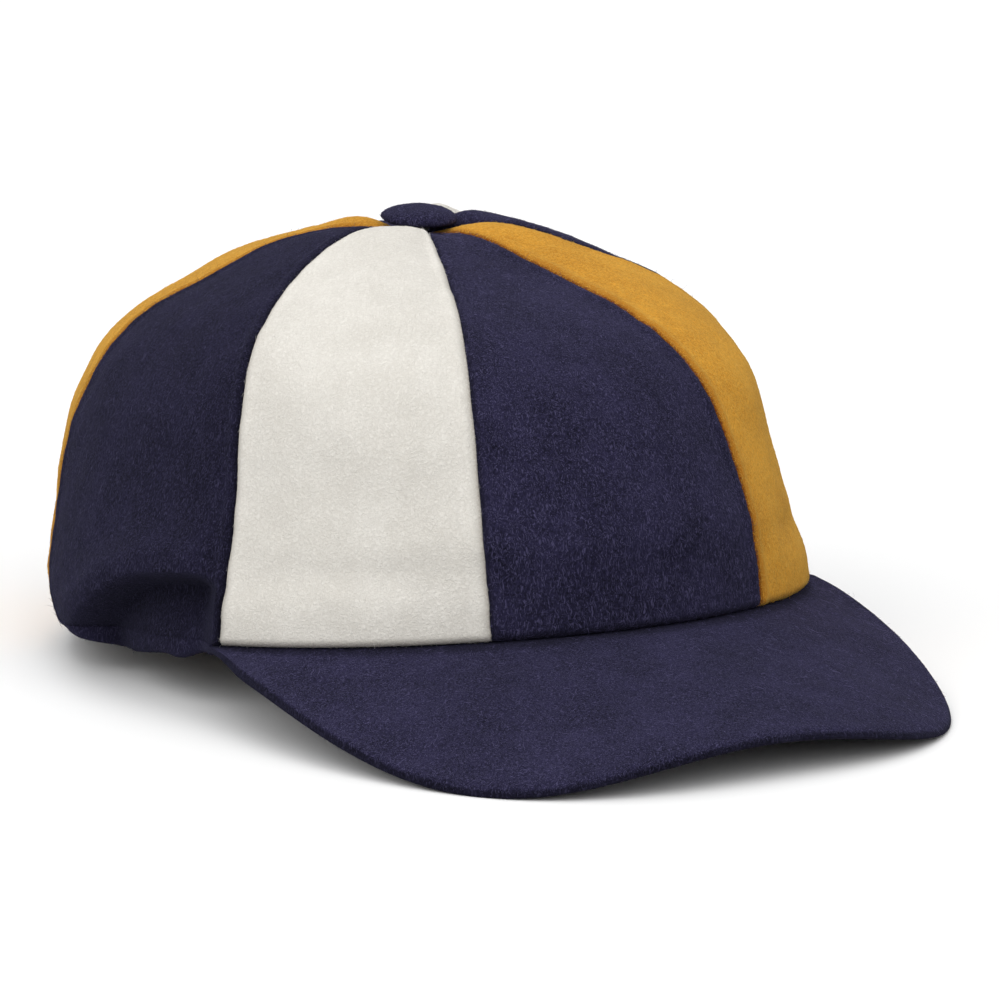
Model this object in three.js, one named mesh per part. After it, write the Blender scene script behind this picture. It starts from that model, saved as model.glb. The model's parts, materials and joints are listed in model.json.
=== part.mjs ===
// A cricket cap of eight wool panels with a covered button, a short stiff peak and a gathered back edge.
// Millimetres, +Z up. The front is toward -Y, and the wearer's right hand is toward -X.
// Everything is worked out with the rim level. At the end the cap is tilted to the pose that it rests in.

import * as THREE from "three";

// Crown
const RIM_LENGTH = 194;
const RIM_WIDTH = 180;
const CROWN_HEIGHT = 93;
const PANEL_COUNT = 8;
const PANEL_CLOTH = 2;
const SEAM_SINK = 1;
const SEAM_SINK_SHARPNESS = 3;
const TIP_RADIUS = 3;
const DIMPLE_RADIUS = 12;
const DIMPLE_DEPTH = 4.5;

// Button
const BUTTON_RADIUS = 8.4;
const BUTTON_HEIGHT = 4.8;
const BUTTON_FLAT_RADIUS = 3;
const BUTTON_LEAN = 10;

// The button's side from its underside up to the flat. radius is a share of BUTTON_RADIUS and height a
// share of BUTTON_HEIGHT.
const BUTTON_PROFILE = [
  { radius: 0.82, height: 0 },
  { radius: 0.96, height: 0.16 },
  { radius: 1, height: 0.36 },
  { radius: 0.94, height: 0.6 },
  { radius: 0.76, height: 0.82 },
  { radius: 0.54, height: 0.95 },
];

// Peak
const PEAK_REACH = 48.5;
const PEAK_CORNER_BEARING = 66.5;
const PEAK_SQUARENESS = 3;
const PEAK_NIP = 2.4;
const PEAK_FRONT_DROP = 18.8;
const PEAK_SIDE_DROP = 26;
const PEAK_DROP_POWER = 2.05;
const PEAK_SWELL = 1.15;
const PEAK_THICKNESS = 2.8;
const PEAK_NOSE_FLATNESS = 0.1;
const PEAK_TUCK = 3;

// Gathered casing round the back of the rim
const CASING_THICKNESS = 2.4;
const CASING_DEPTH = 2.5;
const CASING_FOLD_DEPTH = 1.1;
const CASING_FOLD_BEARING = 75;
const CASING_FOLD_SPREAD = 4.5;
const CASING_GATHERS = 30;
const CASING_GATHER_HEIGHT = 0.4;

// Clearance between pieces that are sewn together
const SEAM_GAP = 0.3;

// Fineness of the facets
const PANEL_COLUMNS = 8;
const PANEL_ROWS = 24;
const PEAK_COLUMNS = 48;
const PEAK_ROWS = 10;
const PEAK_ROW_CROWDING = 1.6;
const CASING_COLUMNS = 96;
const BUTTON_SEGMENTS = 32;

const NAVY = { color: 0x2a2646, roughness: 0.95, metalness: 0 };
const CREAM = { color: 0xe0dcd0, roughness: 0.95, metalness: 0 };
const GOLD = { color: 0xcf962f, roughness: 0.95, metalness: 0 };

// Panels in order from the front toward the wearer's right, all the way round.
const PANELS = [
  { name: "panel_front", cloth: NAVY },
  { name: "panel_front_right", cloth: CREAM },
  { name: "panel_right", cloth: NAVY },
  { name: "panel_back_right", cloth: GOLD },
  { name: "panel_back", cloth: NAVY },
  { name: "panel_back_left", cloth: CREAM },
  { name: "panel_left", cloth: NAVY },
  { name: "panel_front_left", cloth: GOLD },
];

// Level sections of the crown from the rim to the top. height is a share of CROWN_HEIGHT. The other
// columns are the radius at five bearings, as shares of the half size that STATION_HALVES gives there.
const CROWN_SECTIONS = [
  { height: 0, front: 0.97, frontSide: 0.985, side: 1, backSide: 1.01, back: 1.02 },
  { height: 0.11, front: 0.97, frontSide: 0.975, side: 1, backSide: 1.04, back: 1.055 },
  { height: 0.22, front: 0.965, frontSide: 0.945, side: 0.97, backSide: 1.04, back: 1.08 },
  { height: 0.39, front: 0.905, frontSide: 0.9, side: 0.905, backSide: 1.025, back: 1.07 },
  { height: 0.59, front: 0.79, frontSide: 0.84, side: 0.825, backSide: 0.96, back: 1.01 },
  { height: 0.76, front: 0.58, frontSide: 0.68, side: 0.695, backSide: 0.82, back: 0.895 },
  { height: 0.88, front: 0.32, frontSide: 0.47, side: 0.515, backSide: 0.61, back: 0.7 },
  { height: 0.97, front: 0.08, frontSide: 0.22, side: 0.29, backSide: 0.39, back: 0.48 },
  { height: 1, front: 0, frontSide: 0, side: 0, backSide: 0, back: 0 },
];
const STATION_HALVES = {
  front: RIM_LENGTH / 2,
  frontSide: (RIM_LENGTH + RIM_WIDTH) / 4,
  side: RIM_WIDTH / 2,
  backSide: (RIM_LENGTH + RIM_WIDTH) / 4,
  back: RIM_LENGTH / 2,
};

// Dents where the cloth sinks in over the band and the casing, the same on both sides of the cap.
// bearing and spread are degrees. level, above and below are shares of CROWN_HEIGHT: the height of the
// deepest line, and how fast the dent fades over it and under it. depth is a share of RIM_WIDTH.
const DENTS = [
  { bearing: 84, spread: 22, level: 0.12, above: 0.05, below: 0.09, depth: 0.022 },
  { bearing: 45, spread: 20, level: 0.17, above: 0.04, below: 0.06, depth: 0.005 },
  { bearing: 0, spread: 24, level: 0.15, above: 0.04, below: 0.06, depth: 0.004 },
];

// Seams from the front to the back on the wearer's right, mirrored on the left. The columns are how many
// degrees a seam stands toward the back of its even share: at the rim, half way up and on the shoulder.
const SEAM_SHIFTS = [
  { rim: 0, middle: 0, shoulder: -2.5 },
  { rim: -4, middle: -1.5, shoulder: 2.5 },
  { rim: 7, middle: 4.5, shoulder: -2 },
  { rim: 0, middle: 0, shoulder: 0 },
];

const SHOULDER_CROWDING = 4;
const FULL_TURN = 360;
const PANEL_ANGLE = FULL_TURN / PANEL_COUNT;
const DIFFERENCE_STEP = 1e-3;
const STEEPEST_REST = Math.PI / 6;
const REST_HALVINGS = 40;

const radians = THREE.MathUtils.degToRad;
const lerp = THREE.MathUtils.lerp;

// Cosine terms of the even curve round the cap that passes through radii at equal steps from front to back.
function cosineTerms(radii) {
  const last = radii.length - 1;
  const isEnd = (place) => place === 0 || place === last;
  return radii.map((_, order) => {
    const sum = radii.reduce((total, radius, station) => {
      const weight = isEnd(station) ? 0.5 : 1;
      return total + weight * radius * Math.cos((order * station * Math.PI) / last);
    }, 0);
    return ((isEnd(order) ? 1 : 2) * sum) / last;
  });
}

function sumOfCosines(terms, bearing) {
  return terms.reduce((total, term, order) => total + term * Math.cos(order * bearing), 0);
}

const SECTION_CURVES = CROWN_SECTIONS.map((section) => ({
  height: section.height * CROWN_HEIGHT,
  terms: cosineTerms(
    Object.entries(STATION_HALVES).map(([station, half]) => section[station] * half),
  ),
}));

// A bell that is 1 at its centre and fades over the spread.
function bell(distance, spread) {
  return Math.exp(-((distance / spread) ** 2));
}

function dentDepth(bearing, height) {
  const fromFront = Math.abs(THREE.MathUtils.euclideanModulo(bearing + Math.PI, 2 * Math.PI) - Math.PI);
  return DENTS.reduce((total, dent) => {
    const rise = height - dent.level * CROWN_HEIGHT;
    const fade = (rise > 0 ? dent.above : dent.below) * CROWN_HEIGHT;
    const sideways = bell(fromFront - radians(dent.bearing), radians(dent.spread));
    return total + dent.depth * RIM_WIDTH * sideways * bell(rise, fade);
  }, 0);
}

// The crown's outer surface as if it had no seams, at a bearing in radians and a level from 0 to 1.
function crownPoint(bearing, level) {
  const profile = new THREE.SplineCurve(
    SECTION_CURVES.map(({ height, terms }) => new THREE.Vector2(sumOfCosines(terms, bearing), height)),
  ).getPoint(level);
  const opened = profile.x + TIP_RADIUS * (1 - (2 * profile.x) / RIM_WIDTH);
  const radius = opened - dentDepth(bearing, profile.y);
  const dimple = DIMPLE_DEPTH * bell(radius, DIMPLE_RADIUS);
  return new THREE.Vector3(-radius * Math.sin(bearing), -radius * Math.cos(bearing), profile.y - dimple);
}

// The outward normal of the crown, from differences along the bearing and the level.
function crownNormal(bearing, level) {
  const low = Math.max(level - DIFFERENCE_STEP, 0);
  const high = Math.min(level + DIFFERENCE_STEP, 1);
  const upward = crownPoint(bearing, high).sub(crownPoint(bearing, low));
  const ahead = crownPoint(bearing + DIFFERENCE_STEP, level);
  const along = ahead.sub(crownPoint(bearing - DIFFERENCE_STEP, level));
  return upward.cross(along).normalize();
}

// The bearing in radians of a seam, counted from the front toward the wearer's right, at a level. The seam
// before the first one is the last one, a full turn back.
function seamBearing(index, level) {
  if (index < 0) return seamBearing(index + PANEL_COUNT, level) - 2 * Math.PI;
  const mirrored = index >= PANEL_COUNT / 2;
  const row = SEAM_SHIFTS[mirrored ? PANEL_COUNT - 1 - index : index];
  const middle = row.middle * Math.sin(Math.PI * level);
  const shoulder = row.shoulder * Math.sin(Math.PI * level ** SHOULDER_CROWDING);
  const shift = row.rim * (1 - level) + middle + shoulder;
  return radians((index + 0.5) * PANEL_ANGLE + (mirrored ? -shift : shift));
}

// How far a panel is drawn in under the crown's surface at a share of the way from seam to seam.
function sinkAt(share) {
  return SEAM_SINK * Math.abs(2 * share - 1) ** SEAM_SINK_SHARPNESS;
}

// A closed solid between two grids of points. Rows climb, and columns go toward the wearer's right.
function wallSolid(outer, inner) {
  const rows = outer.length;
  const columns = outer[0].length;
  const positions = [...outer.flat(), ...inner.flat()].flatMap((point) => point.toArray());
  const out = (row, column) => row * columns + column;
  const back = (row, column) => rows * columns + out(row, column);
  const faces = [];
  for (let row = 0; row < rows - 1; row += 1) {
    for (let column = 0; column < columns - 1; column += 1) {
      const [a, b, c, d] = corners(out, row, column);
      faces.push(a, c, b, b, c, d);
      const [e, f, g, h] = corners(back, row, column);
      faces.push(e, f, g, f, h, g);
    }
    const last = columns - 1;
    faces.push(out(row, 0), back(row, 0), out(row + 1, 0));
    faces.push(out(row + 1, 0), back(row, 0), back(row + 1, 0));
    faces.push(out(row, last), out(row + 1, last), back(row, last));
    faces.push(out(row + 1, last), back(row + 1, last), back(row, last));
  }
  for (let column = 0; column < columns - 1; column += 1) {
    const last = rows - 1;
    faces.push(out(0, column), out(0, column + 1), back(0, column));
    faces.push(out(0, column + 1), back(0, column + 1), back(0, column));
    faces.push(out(last, column), back(last, column), out(last, column + 1));
    faces.push(out(last, column + 1), back(last, column), back(last, column + 1));
  }
  const geometry = new THREE.BufferGeometry();
  geometry.setAttribute("position", new THREE.Float32BufferAttribute(positions, 3));
  geometry.setIndex(faces);
  geometry.computeVertexNormals();
  return geometry;
}

function corners(at, row, column) {
  return [at(row, column), at(row, column + 1), at(row + 1, column), at(row + 1, column + 1)];
}

// A grid of values of one function of two shares, both from 0 to 1, rows first.
function grid(rowCount, columnCount, valueAt) {
  return Array.from({ length: rowCount + 1 }, (_, row) =>
    Array.from({ length: columnCount + 1 }, (__, column) => valueAt(row / rowCount, column / columnCount)),
  );
}

// Distance of a point from the cap's upright middle line.
function radiusOf(point) {
  return Math.hypot(point.x, point.y);
}

// The face of a panel at a depth under its outer face. The lower edge is cut level.
function panelFace(index, depth) {
  return grid(PANEL_ROWS, PANEL_COLUMNS, (level, share) => {
    const from = seamBearing(index - 1, level);
    const to = seamBearing(index, level);
    const inset = SEAM_GAP / 2 / radiusOf(crownPoint(to, level));
    const bearing = lerp(from + inset, to - inset, share);
    const normal = crownNormal(bearing, level);
    if (level === 0) normal.setZ(0).normalize();
    return crownPoint(bearing, level).addScaledVector(normal, -sinkAt(share) - depth);
  });
}

function panelGeometry(index) {
  return wallSolid(panelFace(index, 0), panelFace(index, PANEL_CLOTH));
}

// Height at which the leaning button's flat underside just clears the crown's top.
function buttonSeatHeight() {
  const slope = Math.tan(radians(BUTTON_LEAN));
  const heights = PANELS.flatMap((_, index) =>
    panelFace(index, 0)
      .flat()
      .filter((point) => radiusOf(point) < BUTTON_RADIUS)
      .map((point) => point.z - point.y * slope),
  );
  return Math.max(...heights) + SEAM_GAP;
}

// A flattened dome whose lower edge is drawn in, with a small flat on top.
function buttonGeometry() {
  const side = BUTTON_PROFILE.map(
    ({ radius, height }) => new THREE.Vector2(radius * BUTTON_RADIUS, height * BUTTON_HEIGHT),
  );
  const profile = [
    new THREE.Vector2(0, 0),
    ...side,
    new THREE.Vector2(BUTTON_FLAT_RADIUS, BUTTON_HEIGHT),
    new THREE.Vector2(0, BUTTON_HEIGHT),
  ];
  return new THREE.LatheGeometry(profile, BUTTON_SEGMENTS).rotateX(Math.PI / 2);
}

// The peak's lower edge at a turn from -90 degrees, the wearer's left corner, to 90, the right one.
// Seen from above it is a squared oval, drawn in a little between the corners and the front. It falls
// from the corners to the front, and further at the sides than in the middle, so the peak is arched.
function peakEdge(turn) {
  const corner = crownPoint(radians(PEAK_CORNER_BEARING), 0);
  const halfWidth = Math.abs(corner.x);
  const forward = Math.max(Math.cos(turn), 0);
  const sideways = Math.abs(Math.sin(turn));
  const front = crownPoint(0, 0).y - PEAK_REACH;
  const across = halfWidth * sideways ** (2 / PEAK_SQUARENESS) - PEAK_NIP * Math.sin(2 * Math.abs(turn));
  const drop = PEAK_FRONT_DROP + PEAK_SIDE_DROP * (across / halfWidth) ** 2;
  return new THREE.Vector3(
    -Math.sign(turn) * across,
    lerp(corner.y, front, forward ** (2 / PEAK_SQUARENESS)),
    corner.z - SEAM_GAP - PEAK_THICKNESS - drop * forward ** (2 / PEAK_DROP_POWER),
  );
}

// The peak's inner edge, tucked under the rim of the crown.
function peakRoot(turn) {
  const rim = crownPoint((2 * turn * radians(PEAK_CORNER_BEARING)) / Math.PI, 0);
  const tucked = 1 - PEAK_TUCK / radiusOf(rim);
  return new THREE.Vector3(rim.x * tucked, rim.y * tucked, rim.z - SEAM_GAP - PEAK_THICKNESS);
}

// The peak's upper face, or its lower one. Rows climb from the rounded outer edge to the root.
function peakFace(isUpper) {
  const roundShare = PEAK_THICKNESS / (PEAK_REACH + PEAK_TUCK);
  return grid(PEAK_ROWS, PEAK_COLUMNS, (climb, share) => {
    const turn = lerp(-Math.PI / 2, Math.PI / 2, share);
    const inward = climb ** PEAK_ROW_CROWDING;
    const root = peakRoot(turn);
    const edge = peakEdge(turn);
    const point = edge.clone().lerp(root, inward);
    point.z = lerp(root.z, edge.z, (1 - inward) ** PEAK_SWELL);
    const flank = 1 - Math.min(inward / roundShare, 1);
    const half = (PEAK_THICKNESS / 2) * Math.sqrt(1 - (1 - PEAK_NOSE_FLATNESS) * flank ** 2);
    point.z += PEAK_THICKNESS / 2 + (isUpper ? half : -half);
    return point;
  });
}

function peakGeometry() {
  return wallSolid(peakFace(true), peakFace(false));
}

// Bearing in degrees at which the casing starts, just clear of the peak's corner.
function casingStart() {
  const corner = crownPoint(radians(PEAK_CORNER_BEARING), 0);
  return PEAK_CORNER_BEARING + THREE.MathUtils.radToDeg(SEAM_GAP / radiusOf(corner));
}

// The casing's outer or inner face. It hangs from the rim, gathered, and one fold hangs lower each side.
function casingFace(depth) {
  return grid(1, CASING_COLUMNS, (climb, share) => {
    const fromBack = lerp(-1, 1, share) * (FULL_TURN / 2 - casingStart());
    const bearing = radians(FULL_TURN / 2 + fromBack);
    const rim = crownPoint(bearing, 0);
    const gather = CASING_GATHER_HEIGHT * Math.cos(CASING_GATHERS * radians(fromBack));
    const fold = bell(FULL_TURN / 2 - Math.abs(fromBack) - CASING_FOLD_BEARING, CASING_FOLD_SPREAD);
    const radius = radiusOf(rim) - depth - gather * (1 - climb) - SEAM_GAP;
    const hang = climb === 1 ? SEAM_GAP : SEAM_GAP + CASING_DEPTH + CASING_FOLD_DEPTH * fold;
    return new THREE.Vector3(-radius * Math.sin(bearing), -radius * Math.cos(bearing), rim.z - hang);
  });
}

function casingGeometry() {
  return wallSolid(casingFace(0), casingFace(CASING_THICKNESS));
}

function piece(name, geometry, cloth) {
  const mesh = new THREE.Mesh(geometry, new THREE.MeshStandardMaterial(cloth));
  mesh.name = name;
  return mesh;
}

// Height of the lowest point of some pieces when the cap's front is tilted up by an angle in radians.
function lowestHeight(pieces, tilt) {
  const turn = new THREE.Matrix4().makeRotationX(-tilt);
  const heights = pieces.map((mesh) => {
    const turned = mesh.geometry.clone().applyMatrix4(turn);
    turned.computeBoundingBox();
    return turned.boundingBox.min.z;
  });
  return Math.min(...heights);
}

// The tilt at which the peak and the back edge stand on the ground together, found by halving.
function restTilt(peakPieces, crownPieces) {
  let flatter = 0;
  let steeper = STEEPEST_REST;
  for (let step = 0; step < REST_HALVINGS; step += 1) {
    const middle = (flatter + steeper) / 2;
    if (lowestHeight(peakPieces, middle) < lowestHeight(crownPieces, middle)) flatter = middle;
    else steeper = middle;
  }
  return flatter;
}

const panels = PANELS.map(({ name, cloth }, index) => piece(name, panelGeometry(index), cloth));
const button = piece("button", buttonGeometry(), NAVY);
button.rotation.x = radians(BUTTON_LEAN);
button.position.z = buttonSeatHeight();
const peak = piece("peak", peakGeometry(), NAVY);
const casing = piece("back_casing", casingGeometry(), NAVY);

const cap = new THREE.Group();
cap.add(...panels, button, peak, casing);

// The cap stands on its peak and its back edge, with the origin in the middle of the ground under it.
cap.rotation.x = -restTilt([peak], [...panels, casing]);
const box = new THREE.Box3().setFromObject(cap, true);
const middle = box.getCenter(new THREE.Vector3());
cap.position.set(-middle.x, -middle.y, -box.min.z);

export default cap;
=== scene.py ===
"""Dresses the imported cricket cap: eight panels of milled wool, a covered button, a peak and a casing.

Shapes are worked out in millimetres with the cap's rim level and its middle at the origin, +Z up, the front
toward -Y and the wearer's right toward -X. Placement then tilts them to the pose in which the cap rests.
"""

from __future__ import annotations

import json
import logging
import math
from dataclasses import dataclass, field
from enum import Enum

import bpy  # noqa: E402
import numpy as np  # noqa: E402
from mathutils import Matrix  # noqa: E402


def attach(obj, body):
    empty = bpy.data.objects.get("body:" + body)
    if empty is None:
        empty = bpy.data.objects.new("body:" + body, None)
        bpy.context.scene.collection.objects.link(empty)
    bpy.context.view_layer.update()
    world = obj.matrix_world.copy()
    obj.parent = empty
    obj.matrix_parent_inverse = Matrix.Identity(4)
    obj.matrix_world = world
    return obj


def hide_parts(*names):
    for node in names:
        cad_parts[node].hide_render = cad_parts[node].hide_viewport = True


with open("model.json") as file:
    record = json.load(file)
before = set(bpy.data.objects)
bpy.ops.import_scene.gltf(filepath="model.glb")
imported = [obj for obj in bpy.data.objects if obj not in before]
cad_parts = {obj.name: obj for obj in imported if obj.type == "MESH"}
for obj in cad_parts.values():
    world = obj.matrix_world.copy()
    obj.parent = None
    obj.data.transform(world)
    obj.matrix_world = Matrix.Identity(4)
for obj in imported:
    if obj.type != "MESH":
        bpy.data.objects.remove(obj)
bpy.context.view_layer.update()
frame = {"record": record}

MM = 0.001
BODY = "root"
DIFFERENCE_STEP = 1e-3
SMALLEST = 1e-9
SQUARE_CM = 100.0
HALF_TURN = 180.0
FLOOR_GAP = 0.02 * MM

# The last colour darkens creases: painted shade in the seams, along the hem and under the button
WOOL_COLOURS = ("Deep", "Body", "Light", "Crease Shade")
BLACK = (0.0, 0.0, 0.0)
WHITE = (1.0, 1.0, 1.0)

# Places of the colour mix node's sockets, whose names are shared with its other modes
MIX_COLOURS = (6, 7)
MIX_RESULT = 2

Array = np.ndarray
Socket = bpy.types.NodeSocket
log = logging.getLogger("cricket_cap")


class Cloth(Enum):
    """The three wools of the cap, by the record's material slots."""

    NAVY = "navy_wool"
    CREAM = "cream_wool"
    GOLD = "gold_wool"


def smooth_step(values: Array, low: float, high: float) -> Array:
    """Rises from 0 at low to 1 at high along 3t^2 - 2t^3.

    Args:
        values: Numbers to weigh.
        low: Value where the rise starts.
        high: Value where it ends.

    Returns:
        A share from 0 to 1 for each value.
    """
    t = np.clip((values - low) / (high - low), 0.0, 1.0)
    return t * t * (3.0 - 2.0 * t)


def bell(distance: Array, spread: Array | float) -> Array:
    """Gives exp(-(distance / spread)^2), which is 1 in the middle and fades over the spread."""
    return np.exp(-((distance / spread) ** 2))


def rolled_edge(distance: Array, radius: Array | float) -> Array:
    """Depth of a quarter round at an edge: radius - sqrt(radius^2 - (radius - distance)^2) within the radius.

    Args:
        distance: Distance from the edge along the cloth.
        radius: Radius of the roll.

    Returns:
        How far the cloth has turned down at each distance.
    """
    inside = np.clip(1.0 - distance / radius, 0.0, 1.0)
    return radius * (1.0 - np.sqrt(1.0 - inside**2))


def turned_about_x(points: Array, angle: float) -> Array:
    """Turns points or directions about X by an angle in radians."""
    c, s = math.cos(angle), math.sin(angle)
    return points @ np.array([[1.0, 0.0, 0.0], [0.0, c, -s], [0.0, s, c]]).T


def about_axis(radius: Array, bearing: Array, height: Array) -> Array:
    """Points at a radius and a height, at bearings in radians from the front toward the wearer's right."""
    return np.stack([-radius * np.sin(bearing), -radius * np.cos(bearing), height], -1)


def degrees_from_front(points: Array) -> Array:
    """How far round from the front each point is, 0 to 180 degrees on either side."""
    return np.degrees(np.arctan2(np.abs(points[..., 0]), -points[..., 1]))


@dataclass(frozen=True)
class Ripple:
    """A soft random relief: a sum of plane waves whose directions and phases come from a seed."""

    wavelength: float
    height: float
    seed: int
    waves: int = 22
    stretch: tuple[float, float] = (0.7, 1.4)

    def at(self, points: Array) -> Array:
        """Sums height * sqrt(2 / waves) * sin(2 pi stretch d.p / wavelength + phase) over the waves.

        Args:
            points: Places, with x, y and z in the last axis.

        Returns:
            The relief at each place.
        """
        rng = np.random.default_rng(self.seed)
        ways = rng.normal(size=(self.waves, 3))
        ways /= np.linalg.norm(ways, axis=1, keepdims=True)
        ways *= rng.uniform(*self.stretch, (self.waves, 1)) * 2.0 * math.pi / self.wavelength
        phases = rng.uniform(0.0, 2.0 * math.pi, self.waves)
        total = np.sin(points @ ways.T + phases).sum(axis=-1)
        return self.height * math.sqrt(2.0 / self.waves) * total


@dataclass(frozen=True)
class Placement:
    """Turns rim-level millimetres into the frame's metres, from the place of the head opening."""

    centre: tuple[float, float, float]
    tilt: float

    @classmethod
    def from_record(cls, record: dict) -> Placement:
        """Reads the rim's middle and its slope from the mount in the head opening.

        Args:
            record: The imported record.

        Returns:
            The placement of the resting cap.
        """
        mount = next(m for m in record["mounts"] if m["name"] == "head_opening")
        return cls(tuple(mount["pos_m"]), math.asin(-mount["axis"][1]))

    def turned(self, directions: Array) -> Array:
        """Turns directions about X by minus the tilt."""
        return turned_about_x(directions, -self.tilt)

    def to_frame(self, points: Array) -> Array:
        """Turns, scales and moves points, and flattens what would pass the floor."""
        placed = self.turned(points) * MM + np.array(self.centre)
        placed[..., 2] = np.maximum(placed[..., 2], FLOOR_GAP)
        return placed


@dataclass
class Skin:
    """The vertices and faces of a piece, in rim-level millimetres, with values for its finish."""

    points: Array
    quads: Array
    triangles: Array = field(default_factory=lambda: np.zeros((0, 3), int))
    # Painted shade: the first of these darkens creases and shade mixes in black; tone is the hairs' own
    # random brightness
    crease_shade: Array | None = None
    tone: Array | None = None
    shade: Array | None = None
    normals: Array | None = None

    @property
    def triangle_count(self) -> int:
        """The number of triangles once the quads are cut in two."""
        return 2 * len(self.quads) + len(self.triangles)

    def build(self, name: str, placement: Placement, material: bpy.types.Material) -> bpy.types.Object:
        """Makes the mesh object at the origin, with its place in its vertices.

        Args:
            name: Name of the piece.
            placement: Where the resting cap is.
            material: The finish.

        Returns:
            The linked object.
        """
        mesh = bpy.data.meshes.new(name)
        corners = np.concatenate([self.quads.ravel(), self.triangles.ravel()]).astype(np.int32)
        sizes = np.concatenate([np.full(len(self.quads), 4), np.full(len(self.triangles), 3)])
        starts = np.concatenate([[0], np.cumsum(sizes)[:-1]])
        mesh.vertices.add(len(self.points))
        mesh.vertices.foreach_set("co", placement.to_frame(self.points).astype(np.float32).ravel())
        mesh.loops.add(len(corners))
        mesh.loops.foreach_set("vertex_index", corners)
        mesh.polygons.add(len(sizes))
        mesh.polygons.foreach_set("loop_start", starts.astype(np.int32))
        mesh.polygons.foreach_set("use_smooth", np.ones(len(sizes), bool))
        for label, values in (("crease_shade", self.crease_shade), ("tone", self.tone), ("shade", self.shade)):
            if values is not None:
                layer = mesh.attributes.new(label, "FLOAT", "POINT")
                layer.data.foreach_set("value", values.astype(np.float32).ravel())
        mesh.update(calc_edges=True)
        mesh.validate()
        if self.normals is not None:
            mesh.normals_split_custom_set_from_vertices(placement.turned(self.normals).tolist())
        mesh.materials.append(material)
        piece = bpy.data.objects.new(name, mesh)
        bpy.context.scene.collection.objects.link(piece)
        return piece


def grid_cells(grid: Array) -> Array:
    """Quads of a grid of vertex numbers, whose row step x column step points outward."""
    return np.stack([grid[:-1, :-1], grid[1:, :-1], grid[1:, 1:], grid[:-1, 1:]], -1).reshape(-1, 4)


def closed_wall(
    outer: Array, inner: Array, crease_shade: Array | float, shade: Array, inner_shade: Array | float
) -> Skin:
    """Joins two grids of points into one closed skin, with strips round their four edges.

    Rows climb and columns go toward the wearer's right.

    Args:
        outer: Outer face, rows x columns x 3.
        inner: Inner face, of the same shape.
        crease_shade: Painted shade in the creases of the outer face, one number or one for each point.
        shade: Share of black, as painted shade, in the colour of each point of the outer face.
        inner_shade: The same for the inner face, one number or one for each point.

    Returns:
        The closed skin.
    """
    rows, columns = outer.shape[:2]
    out = np.arange(rows * columns).reshape(rows, columns)
    back = out + rows * columns

    def strip(a: Array, b: Array) -> Array:
        return np.stack([a[:-1], b[:-1], b[1:], a[1:]], -1)

    quads = np.concatenate(
        [
            grid_cells(out),
            grid_cells(back)[:, ::-1],
            strip(out[:, 0], back[:, 0]),
            strip(out[:, -1], back[:, -1])[:, ::-1],
            strip(out[0], back[0])[:, ::-1],
            strip(out[-1], back[-1]),
        ]
    )
    points = np.concatenate([outer.reshape(-1, 3), inner.reshape(-1, 3)])

    def for_both(outside: Array | float, inside: Array | float) -> Array:
        return np.concatenate([np.broadcast_to(v, (rows, columns)).ravel() for v in (outside, inside)])

    return Skin(points, quads, crease_shade=for_both(crease_shade, 0.0), shade=for_both(shade, inner_shade))


def grid_normals(points: Array) -> Array:
    """Gives the outward unit normals of a grid, as the row difference x the column difference."""
    normal = np.cross(np.gradient(points, axis=0), np.gradient(points, axis=1))
    return normal / np.maximum(np.linalg.norm(normal, axis=-1, keepdims=True), SMALLEST)


def to_ends(count: int, crowding: float) -> Array:
    """Shares from 0 to 1 that crowd toward both ends: (1 - crowding) t + crowding (3t^2 - 2t^3)."""
    t = np.linspace(0.0, 1.0, count)
    return (1.0 - crowding) * t + crowding * t * t * (3.0 - 2.0 * t)


@dataclass(frozen=True)
class Section:
    """A level section of the crown: its height and five radii, as shares of the height and the half sizes."""

    height: float
    front: float
    front_side: float
    side: float
    back_side: float
    back: float


@dataclass(frozen=True)
class Dent:
    """A place where the cloth sinks in, or swells where the depth is negative, mirrored on both sides."""

    bearing: float
    spread: float
    height: float
    above: float
    below: float
    depth: float


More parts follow.
